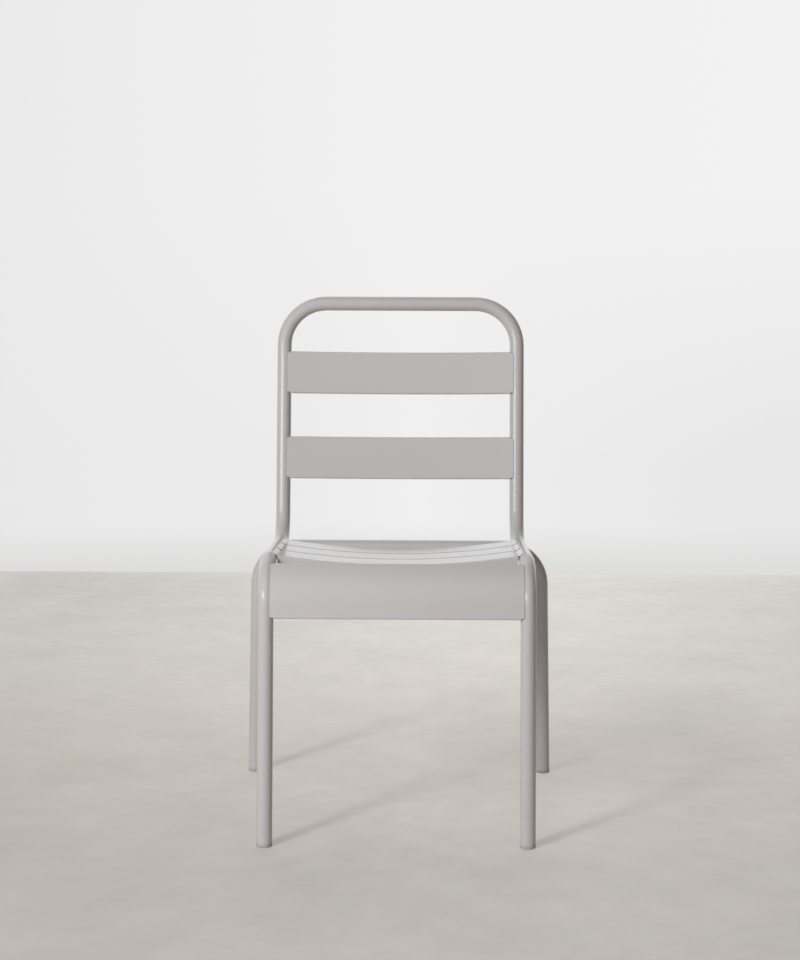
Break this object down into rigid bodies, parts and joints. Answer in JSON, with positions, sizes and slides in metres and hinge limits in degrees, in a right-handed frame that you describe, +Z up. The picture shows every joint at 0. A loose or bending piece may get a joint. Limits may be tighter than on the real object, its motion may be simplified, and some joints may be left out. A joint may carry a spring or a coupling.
{
  "type": "garden chair",
  "caption": "Stackable garden chair of bent steel tube, with dished sheet slats for seat and back and a deep front apron.",
  "frame": {"origin": "floor level, in the middle of the chair's footprint and of its overall width and depth", "axes": "+Z up; +Y to the back, so the sitter faces -Y; +X to the sitter's left"},
  "size_m": [0.5418, 0.5529, 0.85],
  "materials": {
    "painted_tube": "satin powder coat, pale warm grey",
    "painted_sheet": "satin powder coat, pale warm grey",
    "painted_weld": "satin powder coat over the weld bead",
    "glide_plastic": "fine moulded grain, matt"
  },
  "bodies": {
    "root": {"main_frame": "painted_tube", "rear_leg_arch": "painted_tube", "seat_slat_front": "painted_sheet", "seat_slat_middle": "painted_sheet", "seat_slat_rear": "painted_sheet", "back_slat_lower": "painted_sheet", "back_slat_upper": "painted_sheet", "front_apron": "painted_sheet", "seat_slat_front_welds": "painted_weld", "seat_slat_middle_welds": "painted_weld", "seat_slat_rear_welds": "painted_weld", "back_slat_lower_welds": "painted_weld", "back_slat_upper_welds": "painted_weld", "front_apron_welds": "painted_weld", "rear_arch_welds": "painted_weld", "glide_front_left": "glide_plastic", "glide_front_right": "glide_plastic", "glide_rear_left": "glide_plastic", "glide_rear_right": "glide_plastic"}
  },
  "joints": []
}
